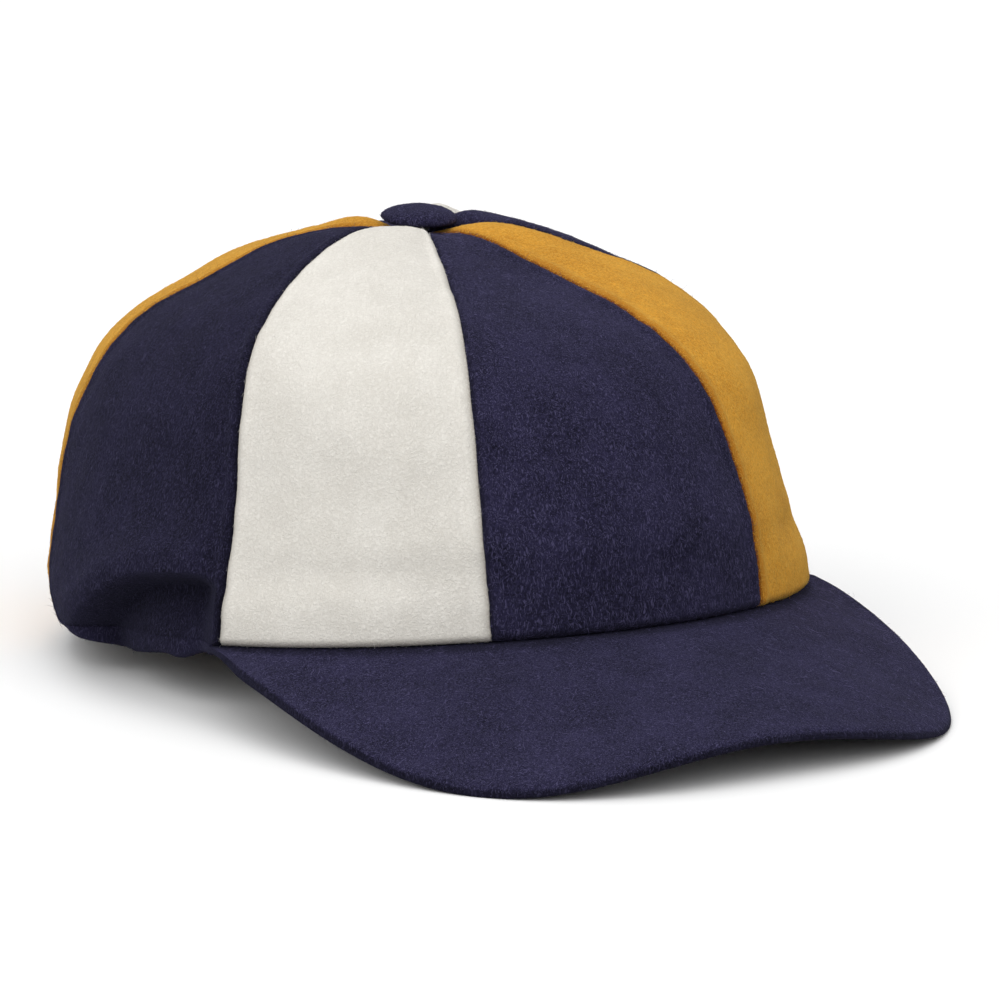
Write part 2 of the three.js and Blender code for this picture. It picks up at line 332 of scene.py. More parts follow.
@dataclass(frozen=True)
class SideFold:
    """The roll of cloth that hangs over the band behind the peak's corner, on both sides.

    Its edge runs level at line_height and drops to end_height between drop_from and drop_to degrees.
    """

    line_height: float = 16.0
    end_height: float = -2.0
    drop_from: float = 78.0
    drop_to: float = 112.0
    starts: tuple[float, float] = (63.4, 71.6)
    ends: tuple[float, float] = (98.0, 116.0)
    ledge: float = 4.5
    depth: float = 9.0
    depth_at_rim: float = 0.75
    roll: float = 1.9
    roll_place: float = 0.7
    roll_spread: float = 6.0
    # Painted shadow in the recess under the roll
    shade: float = 0.5
    shade_at_rim: float = 0.5
    shade_starts: tuple[float, float] = (61.0, 65.0)

    def line(self, bearings: Array) -> Array:
        """Height of the fold's edge over the rim at some degrees from the front."""
        drop = (self.line_height - self.end_height) * smooth_step(bearings, self.drop_from, self.drop_to)
        return self.line_height - drop

    def shade_at(self, bearings: Array, heights: Array) -> Array:
        """Gives the painted shadow under the fold: most just under the edge, less at the rim.

        Args:
            bearings: Degrees from the front, 0 to 180 on either side.
            heights: Millimetres over the rim.

        Returns:
            A share of black from 0 to 1.
        """
        along = smooth_step(bearings, *self.shade_starts) * (1.0 - smooth_step(bearings, *self.ends))
        under = self.line(bearings) - heights
        fade = 1.0 - (1.0 - self.shade_at_rim) * smooth_step(under, self.ledge, self.line_height)
        return self.shade * along * smooth_step(under, 0.0, self.ledge) * fade

    def depth_at(self, bearings: Array, heights: Array) -> Array:
        """Gives the inward depth: a ledge of smooth steps under the line, less a bell-shaped roll above it.

        Args:
            bearings: Degrees from the front, 0 to 180 on either side.
            heights: Millimetres over the rim.

        Returns:
            Depth in millimetres, negative where the roll stands out.
        """
        along = smooth_step(bearings, *self.starts) * (1.0 - smooth_step(bearings, *self.ends))
        under = self.line(bearings) - heights
        ledge = smooth_step(under, 0.0, self.ledge)
        fade = 1.0 - (1.0 - self.depth_at_rim) * smooth_step(under, self.ledge, self.line_height)
        roll = self.roll * bell(under + self.roll_spread * self.roll_place, self.roll_spread)
        return along * (self.depth * ledge * fade - roll)


CROWN_SECTIONS = (
    Section(0.0, 0.97, 0.985, 1.0, 1.01, 1.02),
    Section(0.11, 0.97, 0.975, 1.0, 1.04, 1.055),
    Section(0.22, 0.965, 0.945, 0.97, 1.04, 1.08),
    Section(0.39, 0.905, 0.9, 0.905, 1.025, 1.07),
    Section(0.59, 0.79, 0.84, 0.825, 0.96, 1.01),
    Section(0.76, 0.58, 0.68, 0.695, 0.82, 0.895),
    Section(0.88, 0.32, 0.47, 0.515, 0.61, 0.7),
    Section(0.97, 0.08, 0.22, 0.29, 0.39, 0.48),
    Section(1.0, 0.0, 0.0, 0.0, 0.0, 0.0),
)

BAND_DENTS = (
    Dent(bearing=45.0, spread=20.0, height=15.8, above=3.7, below=5.6, depth=0.9),
    Dent(bearing=0.0, spread=24.0, height=14.0, above=3.7, below=5.6, depth=0.7),
    Dent(bearing=120.0, spread=15.0, height=2.0, above=11.0, below=20.0, depth=-1.5),
)


@dataclass(frozen=True)
class BackTuck:
    """How the elastic in the casing draws the cloth's lower edge in behind the peak's corners."""

    depth: float = 0.6
    height: float = 7.5
    starts: tuple[float, float] = (134.0, 152.0)

    def depth_at(self, bearings: Array, heights: Array) -> Array:
        """Gives the inward depth, depth (1 - height / reach)^2 under the reach, behind the starting bearings.

        Args:
            bearings: Degrees from the front, 0 to 180 on either side.
            heights: Millimetres over the rim.

        Returns:
            Depth in millimetres.
        """
        share = np.clip(1.0 - heights / self.height, 0.0, 1.0)
        return self.depth * smooth_step(bearings, *self.starts) * share**2


@dataclass(frozen=True)
class CrownForm:
    """The outer surface of the crown as a function of a bearing and a level from 0 at the rim to 1 on top."""

    length: float = 194.0
    width: float = 180.0
    height: float = 93.0
    tip_radius: float = 3.0
    dimple_radius: float = 12.0
    dimple_depth: float = 4.5
    sections: tuple[Section, ...] = CROWN_SECTIONS
    dents: tuple[Dent, ...] = BAND_DENTS
    side_fold: SideFold = SideFold()
    back_tuck: BackTuck = BackTuck()

    def half_sizes(self) -> Array:
        """Half of the crown's size at the front, front side, side, back side and back."""
        middle = (self.length + self.width) / 4.0
        return np.array([self.length / 2.0, middle, self.width / 2.0, middle, self.length / 2.0])

    def cosine_terms(self) -> Array:
        """Cosine terms of the even curve through the five radii of each section, one row a section.

        Term k is 2/4 of the sum of radius_j cos(jk pi/4), with half weight for the first and last radius,
        and half as large again for k = 0 and k = 4.
        """
        shares = np.array([[s.front, s.front_side, s.side, s.back_side, s.back] for s in self.sections])
        radii = shares * self.half_sizes()
        last = radii.shape[1] - 1
        steps = np.arange(last + 1)
        weights = np.where((steps == 0) | (steps == last), 0.5, 1.0)
        cosines = np.cos(np.outer(steps, steps) * math.pi / last)
        return (radii * weights) @ cosines * weights * 2.0 / last

    def spline_weights(self, levels: Array) -> Array:
        """Weights of the sections in the natural cubic spline through them, at some levels.

        The second derivatives M solve M[i-1] + 4 M[i] + M[i+1] = 6 (y[i-1] - 2 y[i] + y[i+1]), with M = 0 at
        both ends. Solving it for each unit vector gives the weights.

        Args:
            levels: Levels from 0 to 1.

        Returns:
            One row of weights for each level.
        """
        count = len(self.sections)
        identity = np.eye(count)
        system = 4.0 * identity + np.eye(count, k=1) + np.eye(count, k=-1)
        system[[0, -1]] = identity[[0, -1]]
        right = np.zeros((count, count))
        right[1:-1] = 6.0 * (identity[:-2] - 2.0 * identity[1:-1] + identity[2:])
        curving = np.linalg.solve(system, right)
        place = np.clip(levels, 0.0, 1.0) * (count - 1)
        low = np.minimum(place.astype(int), count - 2)
        b = (place - low)[:, None]
        a = 1.0 - b
        bend = ((a**3 - a) * curving[low] + (b**3 - b) * curving[low + 1]) / 6.0
        return a * identity[low] + b * identity[low + 1] + bend

    def profile(self, levels: Array) -> tuple[Array, Array]:
        """Heights, and cosine terms of the radius, at some levels."""
        weights = self.spline_weights(levels)
        heights = weights @ np.array([s.height for s in self.sections]) * self.height
        return heights, weights @ self.cosine_terms()

    def fold_depth(self, bearings: Array, heights: Array) -> Array:
        """Sum of the dents over the band, the side folds and the tuck at the back.

        Args:
            bearings: Bearings in radians.
            heights: Millimetres over the rim.

        Returns:
            Inward depth in millimetres.
        """
        degrees = np.degrees(np.abs((bearings + math.pi) % (2.0 * math.pi) - math.pi))
        depth = self.side_fold.depth_at(degrees, heights) + self.back_tuck.depth_at(degrees, heights)
        for dent in self.dents:
            rise = heights - dent.height
            fade = np.where(rise > 0.0, dent.above, dent.below)
            depth = depth + dent.depth * bell(degrees - dent.bearing, dent.spread) * bell(rise, fade)
        return depth

    def points(self, bearings: Array, levels: Array) -> Array:
        """Points of the crown: radius = sum of term_k cos(k bearing), less the folds, and a dimple on top.

        Args:
            bearings: Bearings in radians, rows x columns, from the front toward the wearer's right.
            levels: The level of each row.

        Returns:
            Rows x columns x 3 points.
        """
        heights, terms = self.profile(levels)
        waves = np.cos(bearings[..., None] * np.arange(terms.shape[1]))
        radius = (waves * terms[:, None, :]).sum(-1)
        height = np.broadcast_to(heights[:, None], radius.shape)
        radius = radius + self.tip_radius * (1.0 - 2.0 * radius / self.width)
        radius = radius - self.fold_depth(bearings, height)
        lowered = height - self.dimple_depth * bell(radius, self.dimple_radius)
        return about_axis(radius, bearings, lowered)

    def normals(self, bearings: Array, levels: Array) -> Array:
        """Outward unit normals, as the upward difference x the difference toward the wearer's right."""
        step = DIFFERENCE_STEP
        above, below = np.minimum(levels + step, 1.0), np.maximum(levels - step, 0.0)
        up = self.points(bearings, above) - self.points(bearings, below)
        along = self.points(bearings + step, levels) - self.points(bearings - step, levels)
        normal = np.cross(up, along)
        return normal / np.linalg.norm(normal, axis=-1, keepdims=True)


@dataclass(frozen=True)
class SeamShift:
    """Degrees by which a seam stands toward the back of its even share: at the rim, middle and shoulder."""

    rim: float
    middle: float
    shoulder: float


@dataclass(frozen=True)
class SeamPlan:
    """Where the eight seams run, in order from the front toward the wearer's right, all the way round."""

    shoulder_crowding: float = 4.0
    waver: float = 0.08
    waver_waves: tuple[float, float] = (41.0, 17.0)
    waver_phase: float = 2.3
    shifts: tuple[SeamShift, ...] = (
        SeamShift(0.0, 0.5, -3.2),
        SeamShift(-4.0, -2.7, 5.0),
        SeamShift(5.5, 6.0, 0.5),
        SeamShift(0.0, 0.0, 9.0),
        SeamShift(0.0, 0.0, 0.0),
        SeamShift(7.0, 4.5, -2.0),
        SeamShift(-4.0, 3.0, -17.8),
        SeamShift(1.8, 1.2, -4.5),
    )

    def bearings(self, index: int, levels: Array) -> Array:
        """Bearings of a seam: its even share, its shift and the slight waver of hand sewing.

        The shift is rim (1 - level) + middle sin(pi level) + shoulder sin(pi level^4).

        Args:
            index: Number of the seam, from the front toward the wearer's right.
            levels: Levels from 0 to 1.

        Returns:
            Radians for each level.
        """
        count = len(self.shifts)
        if index < 0:
            return self.bearings(index + count, levels) - 2.0 * math.pi
        row = self.shifts[index]
        shift = (
            row.rim * (1.0 - levels)
            + row.middle * np.sin(math.pi * levels)
            + row.shoulder * np.sin(math.pi * levels**self.shoulder_crowding)
        )
        fast, slow = self.waver_waves
        waves = np.sin(fast * levels + self.waver_phase * index) * np.sin(slow * levels + index)
        side = 1.0 if index < count / 2 else -1.0
        return np.radians((index + 0.5) * 360.0 / count + side * shift + self.waver * waves)


@dataclass(frozen=True)
class WoolFinish:
    """The colours and hair of one milled wool. Colours are linear."""

    cloth: Cloth
    deep: tuple[float, float, float]
    body: tuple[float, float, float]
    light: tuple[float, float, float]
    # Colour of the painted shade in creases
    crease_shade: tuple[float, float, float]
    sheen: float
    sheen_tint: tuple[float, float, float]
    strand_share: float
    nap_density: float
    nap_length: float
    bump_strength: float = 0.75
    bump_distance: float = 0.25 * MM

    def material(self, group: bpy.types.NodeTree) -> bpy.types.Material:
        """Places the shared wool group in a material with this wool's colours.

        Args:
            group: The node group that Milling made.

        Returns:
            The material.
        """
        sheet = NodeSheet.for_material(self.cloth.value)
        colours = dict(zip(WOOL_COLOURS, (self.deep, self.body, self.light, self.crease_shade)))
        wool = sheet.add("ShaderNodeGroup", {**colours, "Strands": self.strand_share}, node_tree=group)
        relief = {"Strength": self.bump_strength, "Distance": self.bump_distance}
        bump = sheet.add("ShaderNodeBump", {**relief, "Height": wool.outputs["Height"]})
        sheet.finish(self.sheen, self.sheen_tint, wool.outputs["Color"], bump.outputs["Normal"])
        return sheet.owner

    def nap_material(self) -> bpy.types.Material:
        """Makes the finish of the loose hairs, coloured by their tone and darkened by painted shade."""
        sheet = NodeSheet.for_material(f"{self.cloth.value}_nap")
        hair = sheet.mix(sheet.value("tone"), self.body, self.light)
        sheet.finish(self.sheen, self.sheen_tint, sheet.mix(sheet.value("shade"), hair, BLACK))
        return sheet.owner


@dataclass
class NodeSheet:
    """A node tree that is being wired."""

    tree: bpy.types.NodeTree
    owner: bpy.types.Material | None = None

    @classmethod
    def for_material(cls, name: str) -> NodeSheet:
        """Starts a new material's node tree with nothing in it."""
        material = bpy.data.materials.new(name)
        material.use_nodes = True
        material.node_tree.nodes.clear()
        return cls(material.node_tree, material)

    def add(self, kind: str, inputs: dict | None = None, **properties: object) -> bpy.types.Node:
        """Adds a node of a kind, sets its properties and fills its inputs.

        Args:
            kind: Blender's name of the kind.
            inputs: By name or place, a socket to link in, or a number, a vector or three numbers of a colour.
            properties: The node's own settings.

        Returns:
            The node.
        """
        node = self.tree.nodes.new(kind)
        for name, value in properties.items():
            setattr(node, name, value)
        for name, value in (inputs or {}).items():
            slot = node.inputs[name]
            if isinstance(value, Socket):
                self.tree.links.new(value, slot)
            else:
                slot.default_value = (*value, 1.0) if slot.type == "RGBA" else value
        return node

    def value(self, attribute: str) -> Socket:
        """Reads a value that the vertices carry."""
        return self.add("ShaderNodeAttribute", attribute_name=attribute).outputs["Fac"]

    def math(self, kind: str, first: Socket | float, second: Socket | float, clamp: bool = False) -> Socket:
        """Adds one arithmetic node. Its operands are sockets or plain numbers."""
        return self.add("ShaderNodeMath", {0: first, 1: second}, operation=kind, use_clamp=clamp).outputs[0]

    def mix(self, factor: Socket, first: Socket | tuple, second: Socket | tuple) -> Socket:
        """Mixes two colours, each a socket or three numbers, by a factor from 0 to 1."""
        inputs = {"Factor": factor, **dict(zip(MIX_COLOURS, (first, second)))}
        return self.add("ShaderNodeMix", inputs, data_type="RGBA").outputs[MIX_RESULT]

    def noise(
        self, where: Socket, scale: float, detail: float, twist: float = 0.0, roughness: float = 0.6
    ) -> bpy.types.Node:
        """Adds a noise texture on given coordinates."""
        shape = {"Scale": scale, "Detail": detail, "Roughness": roughness, "Distortion": twist}
        return self.add("ShaderNodeTexNoise", {"Vector": where, **shape})

    def ramp(self, value: Socket, low: float, high: float) -> Socket:
        """Maps low to 0 and high to 1, smoothly and clamped."""
        inputs = {"Value": value, "From Min": low, "From Max": high}
        return self.add("ShaderNodeMapRange", inputs, interpolation_type="SMOOTHSTEP").outputs["Result"]

    def finish(self, sheen: float, tint: tuple, colour: Socket, normal: Socket | None = None) -> None:
        """Adds a matte cloth shader and the material's output."""
        matte = {"Roughness": 1.0, "Specular IOR Level": 0.08, "Sheen Roughness": 0.55}
        look = {**matte, "Sheen Weight": sheen, "Sheen Tint": tint, "Base Color": colour}
        shader = self.add("ShaderNodeBsdfPrincipled", look)
        if normal is not None:
            self.tree.links.new(normal, shader.inputs["Normal"])
        self.add("ShaderNodeOutputMaterial", {"Surface": shader.outputs["BSDF"]})


@dataclass(frozen=True)
class Milling:
    """The cloth detail that all three wools share: cloudy felting, fine heather, thin curly hairs and painted
    shade.

    Scales are waves a metre, and a range gives the noise values that are taken as 0 and 1. The hairs are the
    crests of noises that are stretched along different directions, on coordinates that another noise bends,
    so that they cross and curl.
    """

    cloud_scale: float = 75.0
    cloud_detail: float = 3.0
    cloud_range: tuple[float, float] = (0.3, 0.7)
    cloud_share: float = 0.35
    heather_scale: float = 1600.0
    heather_detail: float = 4.0
    heather_twist: float = 0.8
    heather_range: tuple[float, float] = (0.32, 0.7)
    heather_share: float = 0.65
    heather_height: float = 0.55
    crease_shade_ground: float = 0.6
    wander_scale: float = 380.0
    wander_roughness: float = 0.5
    hair_curl: float = 2.0 * MM
    hair_scale: float = 4100.0
    hair_stretch: float = 0.1
    hair_range: tuple[float, float] = (0.67, 0.82)
    hair_turns: tuple[tuple[float, float, float], ...] = (
        (0.8, 0.3, 0.0),
        (1.3, 0.5, 0.4),
        (0.2, 1.2, 1.1),
        (0.9, 0.9, 2.0),
        (2.2, 0.4, 2.8),
    )

    def hairs(self, sheet: NodeSheet, where: Socket) -> Socket:
        """Draws the hairs, 1 on a hair and 0 between them.

        Args:
            sheet: The tree that is being wired.
            where: Coordinates on the object.

        Returns:
            The highest of all directions' crests.
        """
        wander = sheet.noise(where, self.wander_scale, 1.0, roughness=self.wander_roughness)
        terms = {0: wander.outputs["Color"], 1: (self.hair_curl,) * 3, 2: where}
        bent = sheet.add("ShaderNodeVectorMath", terms, operation="MULTIPLY_ADD").outputs["Vector"]
        stretch = (1.0, 1.0, self.hair_stretch)
        hairs = None
        for turn in self.hair_turns:
            laid = sheet.add("ShaderNodeMapping", {"Vector": bent, "Rotation": turn, "Scale": stretch})
            crests = sheet.noise(laid.outputs["Vector"], self.hair_scale, 0.0).outputs["Fac"]
            lines = sheet.ramp(crests, *self.hair_range)
            hairs = lines if hairs is None else sheet.math("MAXIMUM", hairs, lines)
        return hairs

    def group(self) -> bpy.types.NodeTree:
        """Makes the node group, from a wool's four colours, one of them for painted shade in creases, and
        share of hairs to its colour and height.
        """
        tree = bpy.data.node_groups.new("milled_wool", "ShaderNodeTree")
        for label, way, kind in (
            *((colour, "INPUT", "Color") for colour in WOOL_COLOURS),
            ("Strands", "INPUT", "Float"),
            ("Color", "OUTPUT", "Color"),
            ("Height", "OUTPUT", "Float"),
        ):
            tree.interface.new_socket(label, in_out=way, socket_type=f"NodeSocket{kind}")
        sheet = NodeSheet(tree)
        given = sheet.add("NodeGroupInput").outputs
        where = sheet.add("ShaderNodeTexCoord").outputs["Object"]
        clouds = sheet.noise(where, self.cloud_scale, self.cloud_detail)
        cloud = sheet.ramp(clouds.outputs["Fac"], *self.cloud_range)
        flecks = sheet.noise(where, self.heather_scale, self.heather_detail, self.heather_twist)
        heather = sheet.ramp(flecks.outputs["Fac"], *self.heather_range)
        strands = sheet.math("MULTIPLY", self.hairs(sheet, where), given["Strands"])

        tone = sheet.math(
            "ADD",
            sheet.math("MULTIPLY", cloud, self.cloud_share),
            sheet.math("MULTIPLY", heather, self.heather_share),
        )
        cloth = sheet.mix(tone, given["Deep"], given["Body"])
        haired = sheet.mix(strands, cloth, given["Light"])
        # Painted shade: creases take the darkest colour, mottled by the heather, and the shade value mixes in
        # black
        uneven = sheet.math("ADD", heather, self.crease_shade_ground)
        crease_shaded = sheet.math("MULTIPLY", sheet.value("crease_shade"), uneven, clamp=True)
        sewn = sheet.mix(crease_shaded, haired, given["Crease Shade"])
        shaded = sheet.mix(sheet.value("shade"), sewn, BLACK)
        height = sheet.math("ADD", sheet.math("MULTIPLY", heather, self.heather_height), strands)

        sheet.add("NodeGroupOutput", {"Color": shaded, "Height": height})
        return tree


# In each wool the fourth colour is the painted shade of its creases
WOOLS = (
    WoolFinish(
        Cloth.NAVY,
        deep=(0.0046, 0.0043, 0.0108),
        body=(0.0285, 0.0252, 0.064),
        light=(0.132, 0.121, 0.245),
        crease_shade=(0.008, 0.007, 0.017),
        sheen=0.07,
        sheen_tint=(0.45, 0.45, 0.8),
        strand_share=0.5,
        nap_density=66.0,
        nap_length=4.0,
    ),
    WoolFinish(
        Cloth.CREAM,
        deep=(0.70, 0.668, 0.607),
        body=(0.862, 0.832, 0.772),
        light=(0.91, 0.89, 0.85),
        crease_shade=(0.56, 0.52, 0.46),
        sheen=0.08,
        sheen_tint=(1.0, 1.0, 1.0),
        strand_share=0.2,
        nap_density=38.0,
        nap_length=2.3,
    ),
    WoolFinish(
        Cloth.GOLD,
        deep=(0.45, 0.16, 0.008),
        body=(0.83, 0.382, 0.037),
        light=(0.87, 0.54, 0.11),
        crease_shade=(0.24, 0.055, 0.003),
        sheen=0.35,
        sheen_tint=(1.0, 0.82, 0.25),
        strand_share=0.5,
        nap_density=56.0,
        nap_length=2.2,
    ),
)


@dataclass
class Wardrobe:
    """The wools and their finished materials, by cloth."""

    wools: dict[Cloth, WoolFinish] = field(default_factory=dict)
    cloth: dict[Cloth, bpy.types.Material] = field(default_factory=dict)
    nap: dict[Cloth, bpy.types.Material] = field(default_factory=dict)

    @classmethod
    def filled(cls) -> Wardrobe:
        """Makes every wool's material and the material of its hairs."""
        group = Milling().group()
        made = cls()
        for wool in WOOLS:
            made.wools[wool.cloth] = wool
            made.cloth[wool.cloth] = wool.material(group)
            made.nap[wool.cloth] = wool.nap_material()
        return made


@dataclass(frozen=True)
class NapPlan:
    """How the loose hairs of the wool lie, in millimetres and degrees, and how bright they are."""

    shortest: float = 0.7
    rarity: int = 4
    radius: tuple[float, float] = (0.018, 0.034)
    lift: tuple[float, float] = (2.0, 9.0)
    curl: float = 65.0
    taper: float = 0.9
    bright_share: float = 0.16
    dull_tones: float = 0.55

    def grow(
        self, points: Array, wool: WoolFinish, fuzz: Array | float, shade: Array | float, seed: int
    ) -> Skin:
        """Grows bent hairs on a grid, each a three-sided stalk with rings at its root and bend, and a tip.

        The root is a random place on the grid, by area times density. Most hairs are short and a few are
        long: the length is shortest + (longest - shortest) u^rarity for an even random u. The first half
        leaves at a small angle to the cloth, and the second half turns by a random curl and drops back by
        half that angle.

        Args:
            points: The cloth's outer face, rows x columns x 3.
            wool: The wool, with its density of hairs and its longest hair.
            fuzz: Added density, as a multiple of the wool's own, one number or one for each point.
            shade: Share of black in the hairs' colour, as painted shade, one number or one for each point.
            seed: Seed of the random numbers.

        Returns:
            All hairs in one skin.
        """
        rng = np.random.default_rng(seed)
        across = np.linalg.norm(np.diff(points, axis=1), axis=-1)[:-1]
        upward = np.linalg.norm(np.diff(points, axis=0), axis=-1)[:, :-1]
        density = wool.nap_density * (1.0 + np.broadcast_to(fuzz, points.shape[:2])[:-1, :-1])
        wanted = (across * upward * density).ravel() / SQUARE_CM
        count = int(wanted.sum())
        cell = rng.choice(len(wanted), count, p=wanted / wanted.sum())
        row, column = np.divmod(cell, points.shape[1] - 1)
        a, b = rng.uniform(size=(2, count, 1))

        def between(grid: Array) -> Array:
            low = grid[row, column] * (1.0 - b) + grid[row, column + 1] * b
            high = grid[row + 1, column] * (1.0 - b) + grid[row + 1, column + 1] * b
            return low * (1.0 - a) + high * a

        root, normal = between(points), between(grid_normals(points))
        normal /= np.linalg.norm(normal, axis=1, keepdims=True)
        any_way = rng.normal(size=(count, 3))
        along = any_way - (any_way * normal).sum(1, keepdims=True) * normal
        along /= np.linalg.norm(along, axis=1, keepdims=True)
        side = np.cross(normal, along)
        spread = rng.uniform(0.0, 1.0, (count, 1)) ** self.rarity
        length = self.shortest + (wool.nap_length - self.shortest) * spread
        lift = np.radians(rng.uniform(*self.lift, (count, 1)))
        curl = np.radians(rng.normal(0.0, self.curl, (count, 1)))
        first = along * np.cos(lift) + normal * np.sin(lift)
        turned = along * np.cos(curl) + side * np.sin(curl)
        second = turned * np.cos(lift / 2.0) - normal * np.sin(lift / 2.0)
        bend = root + first * length / 2.0
        tip = bend + second * length / 2.0

        radius = rng.uniform(*self.radius, (count, 1))
        angles = np.arange(3) * 2.0 * math.pi / 3.0
        flat = np.cross(first, normal)
        flat /= np.linalg.norm(flat, axis=1, keepdims=True)
        steep = np.cross(first, flat)
        ring = flat[:, None] * np.cos(angles)[None, :, None] + steep[:, None] * np.sin(angles)[None, :, None]
        ring = ring * radius[:, None]
        bent = bend[:, None] + self.taper * ring
        stalks = np.concatenate([root[:, None] + ring, bent, tip[:, None]], axis=1)

        size = stalks.shape[1]
        first_vertex = size * np.arange(count)[:, None, None]
        walls = np.array([[0, 1, 4, 3], [1, 2, 5, 4], [2, 0, 3, 5]])
        ends = np.array([[3, 4, 6], [4, 5, 6], [5, 3, 6], [2, 1, 0]])
        is_bright = rng.uniform(size=count) < self.bright_share
        tone = np.where(is_bright, 1.0, rng.uniform(0.0, self.dull_tones, count))
        return Skin(
            stalks.reshape(-1, 3),
            (first_vertex + walls).reshape(-1, 4),
            (first_vertex + ends).reshape(-1, 3),
            tone=np.repeat(tone, size),
            shade=np.repeat(np.broadcast_to(shade, points.shape[:2])[row, column], size),
            normals=np.repeat(normal, size, axis=0),
        )


@dataclass
class Workshop:
    """What every sub-assembly needs to finish its pieces."""

    placement: Placement
    wardrobe: Wardrobe
    nap: NapPlan

    def finish_nap(
        self,
        face: Array,
        name: str,
        cloth: Cloth,
        seed: int,
        fuzz: Array | float = 0.0,
        shade: Array | float = 0.0,
    ) -> bpy.types.Object:
        """Grows the hairs of a piece and finishes them.

        Args:
            face: The cloth's outer face, rows x columns x 3.
            name: Name of the hairs.
            cloth: The wool.
            seed: Seed of the random numbers.
            fuzz: Added density, as a multiple of the wool's own, at each point of the face.
            shade: Share of black in the hairs' colour, as painted shade, at each point of the face.

        Returns:
            The hairs' object.
        """
        hairs = self.nap.grow(face, self.wardrobe.wools[cloth], fuzz, shade, seed)
        return self.finish_piece(hairs, name, None, cloth)

    def finish_piece(self, skin: Skin, name: str, node: str | None, cloth: Cloth) -> bpy.types.Object:
        """Builds a piece, lets it ride on the cap's body and reports it.

        Args:
            skin: Its shape.
            name: Name of the piece.
            node: The CAD node that it stands for, or None for the hairs on a piece.
            cloth: Its wool.

        Returns:
            The object.
        """
        shelf = self.wardrobe.nap if node is None else self.wardrobe.cloth
        piece = skin.build(name, self.placement, shelf[cloth])
        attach(piece, BODY)
        if node is not None:
            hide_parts(node)
        log.info("%s: %d triangles", name, skin.triangle_count)
        return piece


@dataclass(frozen=True)
class PanelCut:
    """One of the crown's panels: its name and wool, and its puff round the button.

    Its shade share is painted shade over the whole panel, and its seam band share is painted shade in a wide
    band by its seams.
    """

    name: str
    cloth: Cloth
    puff: float
    puff_radius: float = 13.0
    shade: float = 0.0
    flush: float = 0.0


